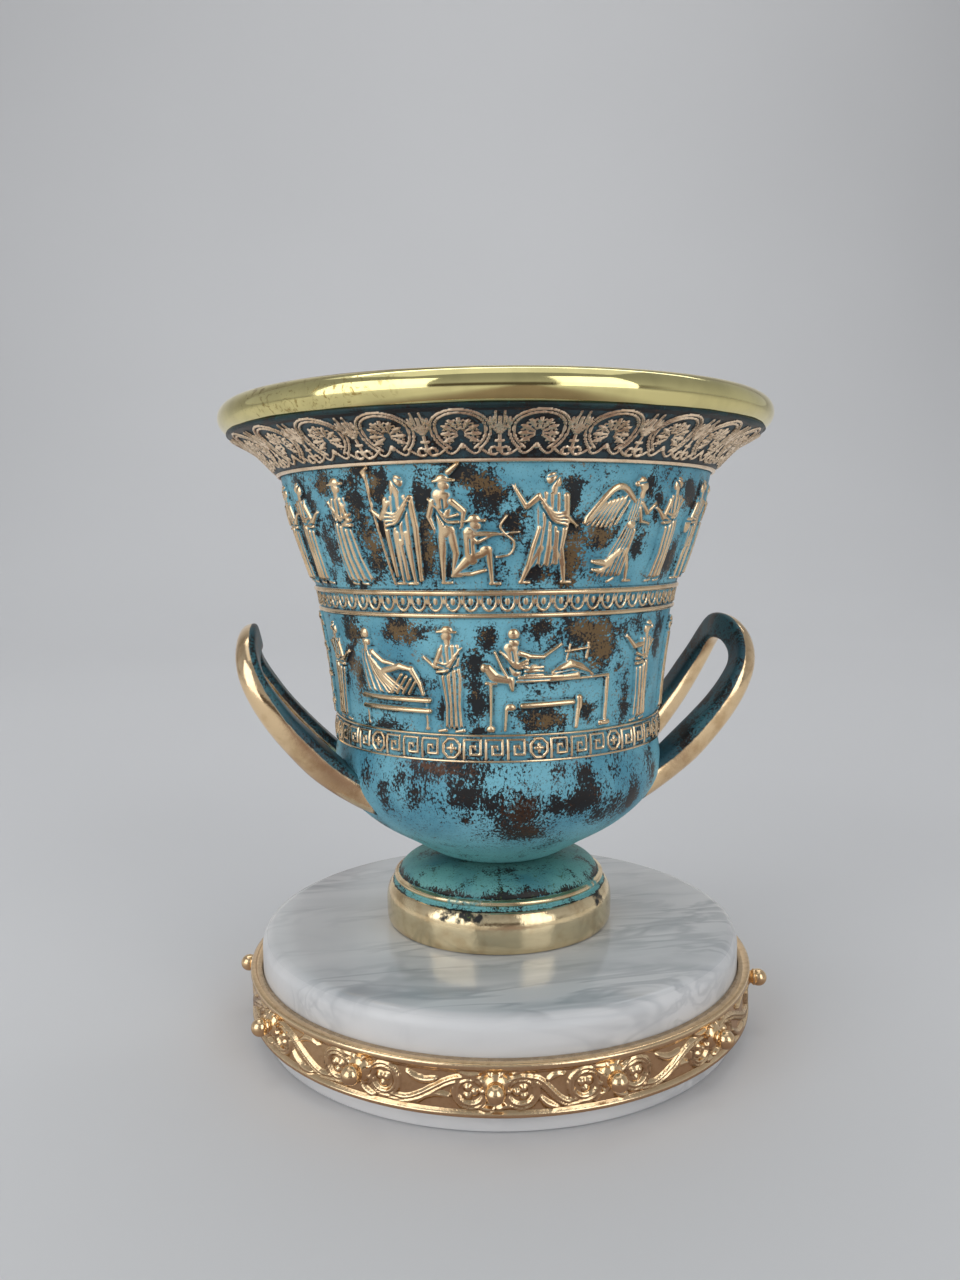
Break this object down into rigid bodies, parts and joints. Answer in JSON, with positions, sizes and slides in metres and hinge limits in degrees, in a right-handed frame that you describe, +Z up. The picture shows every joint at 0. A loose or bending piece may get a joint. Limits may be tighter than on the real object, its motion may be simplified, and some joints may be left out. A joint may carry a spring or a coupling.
{
  "type": "greek krater on a marble base",
  "caption": "Open two-handled mixing vessel in patinated bronze with figured friezes and a rolled brass rim, fixed on a round marble base with a gilt gallery",
  "frame": {"origin": "centre of the marble base's flat underside", "axes": "+Z up along the vessel's axis; the two handles lie along X; the front of the friezes looks along -Y"},
  "size_m": [0.1673, 0.1683, 0.1912],
  "materials": {
    "marble": "white marble with soft grey veins, polished on top and honed at the side",
    "gilt_gallery": "gilt cast scrollwork on a bright polished ground",
    "foot_patina": "green patina over bronze with polished mouldings",
    "bowl_patina": "turquoise patina with dark brown blotches and polished relief",
    "polished_brass": "mirror polished yellow brass",
    "polished_bronze": "polished rosy bronze outside, dark patina inside the loop"
  },
  "bodies": {
    "root": {"marble_base": "marble", "gallery_band": "gilt_gallery", "krater_foot": "foot_patina", "krater_bowl": "bowl_patina", "rim_ring": "polished_brass", "handle_left": "polished_bronze", "handle_right": "polished_bronze"}
  },
  "joints": []
}
